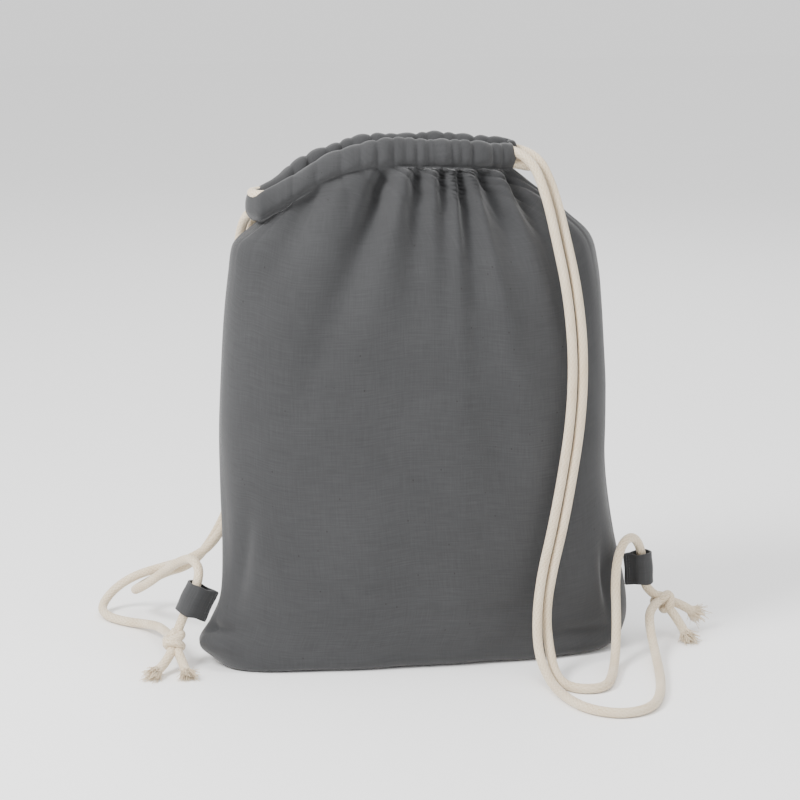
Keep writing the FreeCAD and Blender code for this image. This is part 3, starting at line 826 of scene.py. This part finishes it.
def hem_grid(turn, wave, gather, phase):
    """Rows once round the hem tunnel: up the outside, over the top and down the inside."""
    rows = []
    x = turn * 100.0
    lean = 1.2 * np.sin(0.11 * x + phase) + 0.8 * np.sin(0.23 * x + 2 * phase)
    crown = 1.0 + 1.0 * np.sin(0.045 * x + 2.3 * phase) + 0.6 * np.sin(0.13 * x + phase)
    for row in range(1, HEM_ROWS + 1):
        angle = math.radians(HEM_START_ANGLE + HEM_SWEEP * row / HEM_ROWS)
        flat = abs(math.cos(angle)) ** HEM_ROUNDNESS
        out = math.copysign(HEM_HALF_DEPTH * flat, math.cos(angle))
        upper = max(0.0, math.sin(angle))
        pinch = 1.0 - 0.55 * smoothstep(-0.35, -0.95, math.sin(angle))
        outer = out + math.copysign(flat, math.cos(angle)) * gather * (wave * pinch - 0.05)
        rise = HEM_HALF_HEIGHT * math.sin(angle) + upper * (gather * 0.55 * (wave - 0.5) + crown)
        rows.append(hem_surface(turn, outer + lean * upper, rise))
    return np.array(rows)


def panel_uv(points):
    """Cloth coordinates in metres: along each row from the middle, and up from the bottom."""
    across = np.linalg.norm(np.diff(points, axis=1), axis=2)
    u = np.concatenate([np.zeros((len(points), 1)), np.cumsum(across, axis=1)], axis=1)
    u -= u[:, [PANEL_COLUMNS // 2]]
    u_mid = np.clip(u, -0.19, 0.19)
    upward = np.linalg.norm(np.diff(points, axis=0), axis=2)
    v = np.concatenate([np.zeros((1, points.shape[1])), np.cumsum(upward, axis=0)], axis=0)
    return np.stack([u_mid, v], axis=-1)


def thicken(obj, thickness):
    """Gives cloth its thickness, inward, as a finished mesh."""
    modifier = obj.modifiers.new("thickness", "SOLIDIFY")
    modifier.thickness = thickness
    modifier.offset = -1.0
    apply_modifiers(obj)


def build_panel(side, material):
    """One panel with its hem tunnel, as gathered cloth."""
    front = side == "front"
    if front:
        points = panel_points(FRONT_CREASES, FRONT_FOLDS, FRONT_DENTS, 0.4)
    else:
        points = panel_points(BACK_CREASES, BACK_FOLDS, BACK_DENTS, 2.1)
    uv = panel_uv(points)
    if not front:
        points = points * np.array([1.0, -1.0, 1.0])
    rows, columns = points.shape[:2]
    faces = grid_faces(rows, columns)
    if not front:
        faces = [tuple(reversed(face)) for face in faces]
    obj = make_object(side + "_cloth", points.reshape(-1, 3), faces, material, uv.reshape(-1, 2))
    thicken(obj, CLOTH_THICKNESS)
    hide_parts(side + "_panel", side + "_casing", side + "_casing_stitch")


# ---------------------------------------------------------------- loop tabs
# Root place in millimetres, tilt of the outward direction, length and width.
TABS = {
    "left": ((-174.5, 0.0, 49.0), 154.3, 26.0, 27.0),
    "right": ((184.6, 0.0, 63.0), 4.0, 23.0, 27.0),
}
TAB_PLY = 1.7 * MM
TAB_EDGE = 0.6 * MM
TAB_END = 8.5
TAB_AROUND = 90
TAB_ACROSS = 36
Y_WAY = np.array([0.0, 1.0, 0.0])


def tab_frame(side):
    """Root, outward direction and hole axis of a tab, in metres."""
    place, tilt, length, width = TABS[side]
    turn = math.radians(tilt)
    outward = np.array([math.cos(turn), 0.0, math.sin(turn)])
    axis = np.array([-math.sin(turn), 0.0, math.cos(turn)])
    return np.array(place) * MM, outward, axis, length, width


def tab_outline(length):
    """Half of the loop's middle line: outward distance and half opening, in millimetres."""
    centre = length - TAB_END
    return [(-1.5, 0.9), (1.5, 1.0), (5.5, 3.4), (centre - 5.5, 7.2), (centre, 8.6),
            (centre + 5.6, 6.3), (centre + 8.0, 0.0)]


def build_tab(side, material, thread):
    """Slightly wavy webbing loop, sewn in at its root."""
    root, outward, axis, length, width = tab_frame(side)
    half = tab_outline(length)
    outline = [(x, -y) for x, y in half] + [(x, y) for x, y in reversed(half[:-1])]
    line = spline(outline, np.linspace(0.0, 1.0, TAB_AROUND))
    points, uv = [], []
    for i in range(TAB_AROUND):
        for j in range(TAB_ACROSS):
            w = (j / (TAB_ACROSS - 1) - 0.5) * width
            swell = 0.35 * math.sin(0.55 * line[i, 0] + 0.9) * math.cos(0.21 * w)
            edge = 0.45 * math.sin(0.4 * line[i, 0] + 1.1) * (2.0 * w / width) ** 3
            spot = root + outward * (line[i, 0] + 0.25 * math.cos(0.3 * w)) * MM
            spot = spot + Y_WAY * (line[i, 1] * (1 + 0.05 * swell)) * MM
            spot = spot + axis * (w + edge) * MM
            points.append(spot)
            uv.append((w * MM, i * 0.6 * MM))
    faces = grid_faces(TAB_AROUND, TAB_ACROSS)
    obj = make_object(side + "_tab_webbing", points, faces, material, uv, body=side + "_loop")
    modifier = obj.modifiers.new("thickness", "SOLIDIFY")
    modifier.thickness = TAB_PLY
    modifier.offset = 0.0
    edges = obj.modifiers.new("edges", "BEVEL")
    edges.width = TAB_EDGE
    edges.segments = 3
    apply_modifiers(obj)
    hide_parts(side + "_tab")
    build_tab_stitches(side, thread)


STITCHES = 10
STITCH_PITCH = 2.5
STITCH_ROWS = (0.0, 2.2)
STITCH_LENGTH = 1.8 * MM
STITCH_HEIGHT = 0.3 * MM
STITCH_STANDOFF = 2.1 * MM
THREAD_RADIUS = 0.3 * MM
THREAD_STEPS = 7
THREAD_SIDES = 8


def build_tab_stitches(side, material):
    """Two rows of short stitches over the sewn root of a tab, front and back."""
    root, outward, axis, _, _ = tab_frame(side)
    points, faces = [], []
    for face in (-1.0, 1.0):
        for row in STITCH_ROWS:
            for k in range(STITCHES):
                w = (k - (STITCHES - 1) / 2.0) * STITCH_PITCH
                middle = root + outward * row * MM + axis * w * MM + Y_WAY * face * STITCH_STANDOFF
                start = len(points)
                for step in range(THREAD_STEPS):
                    t = step / (THREAD_STEPS - 1.0)
                    arch = STITCH_HEIGHT * math.sin(math.pi * t)
                    spot = middle + axis * (t - 0.5) * STITCH_LENGTH + Y_WAY * face * arch
                    for c in range(THREAD_SIDES):
                        a = 2.0 * math.pi * c / THREAD_SIDES
                        ring = outward * math.cos(a) + Y_WAY * math.sin(a)
                        points.append(spot + ring * THREAD_RADIUS)
                faces += fibre_faces(start, THREAD_STEPS, THREAD_SIDES)
    obj = make_object(side + "_tab_stitches", points, faces, material, body=side + "_loop")
    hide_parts(side + "_tab_stitch")


def thread_material(name):
    """Twisted dark sewing thread."""
    n = Nodes(name)
    twist = n.add("ShaderNodeTexNoise", {"Scale": 900.0, "Detail": 2.0})
    place = n.add("ShaderNodeTexCoord")
    n.join(place.outputs["Object"], twist.inputs["Vector"])
    colour = n.ramp(twist.outputs["Fac"], [(0.3, (0.028, 0.029, 0.03)), (0.7, (0.06, 0.061, 0.064))])
    n.join(colour, n.shader.inputs["Base Color"])
    n.shader.inputs["Roughness"].default_value = 0.7
    n.shader.inputs["Sheen Weight"].default_value = 0.2
    return n.material


# ---------------------------------------------------------------- build
add_camera()
add_studio()
build_cords()
canvas = canvas_material("dark_canvas", (0.045, 0.0455, 0.047))
for panel_side in ("front", "back"):
    build_panel(panel_side, canvas)
tab_cloth = canvas_material("tab_canvas", (0.050, 0.0505, 0.052))
sewing_thread = thread_material("sewing_thread")
for tab_side in TABS:
    build_tab(tab_side, tab_cloth, sewing_thread)
seam_cloth = canvas_material("seam_canvas", (0.05, 0.051, 0.053))
for node_name in ("left_seam", "right_seam", "bottom_seam"):
    for material_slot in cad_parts[node_name].material_slots:
        material_slot.material = seam_cloth
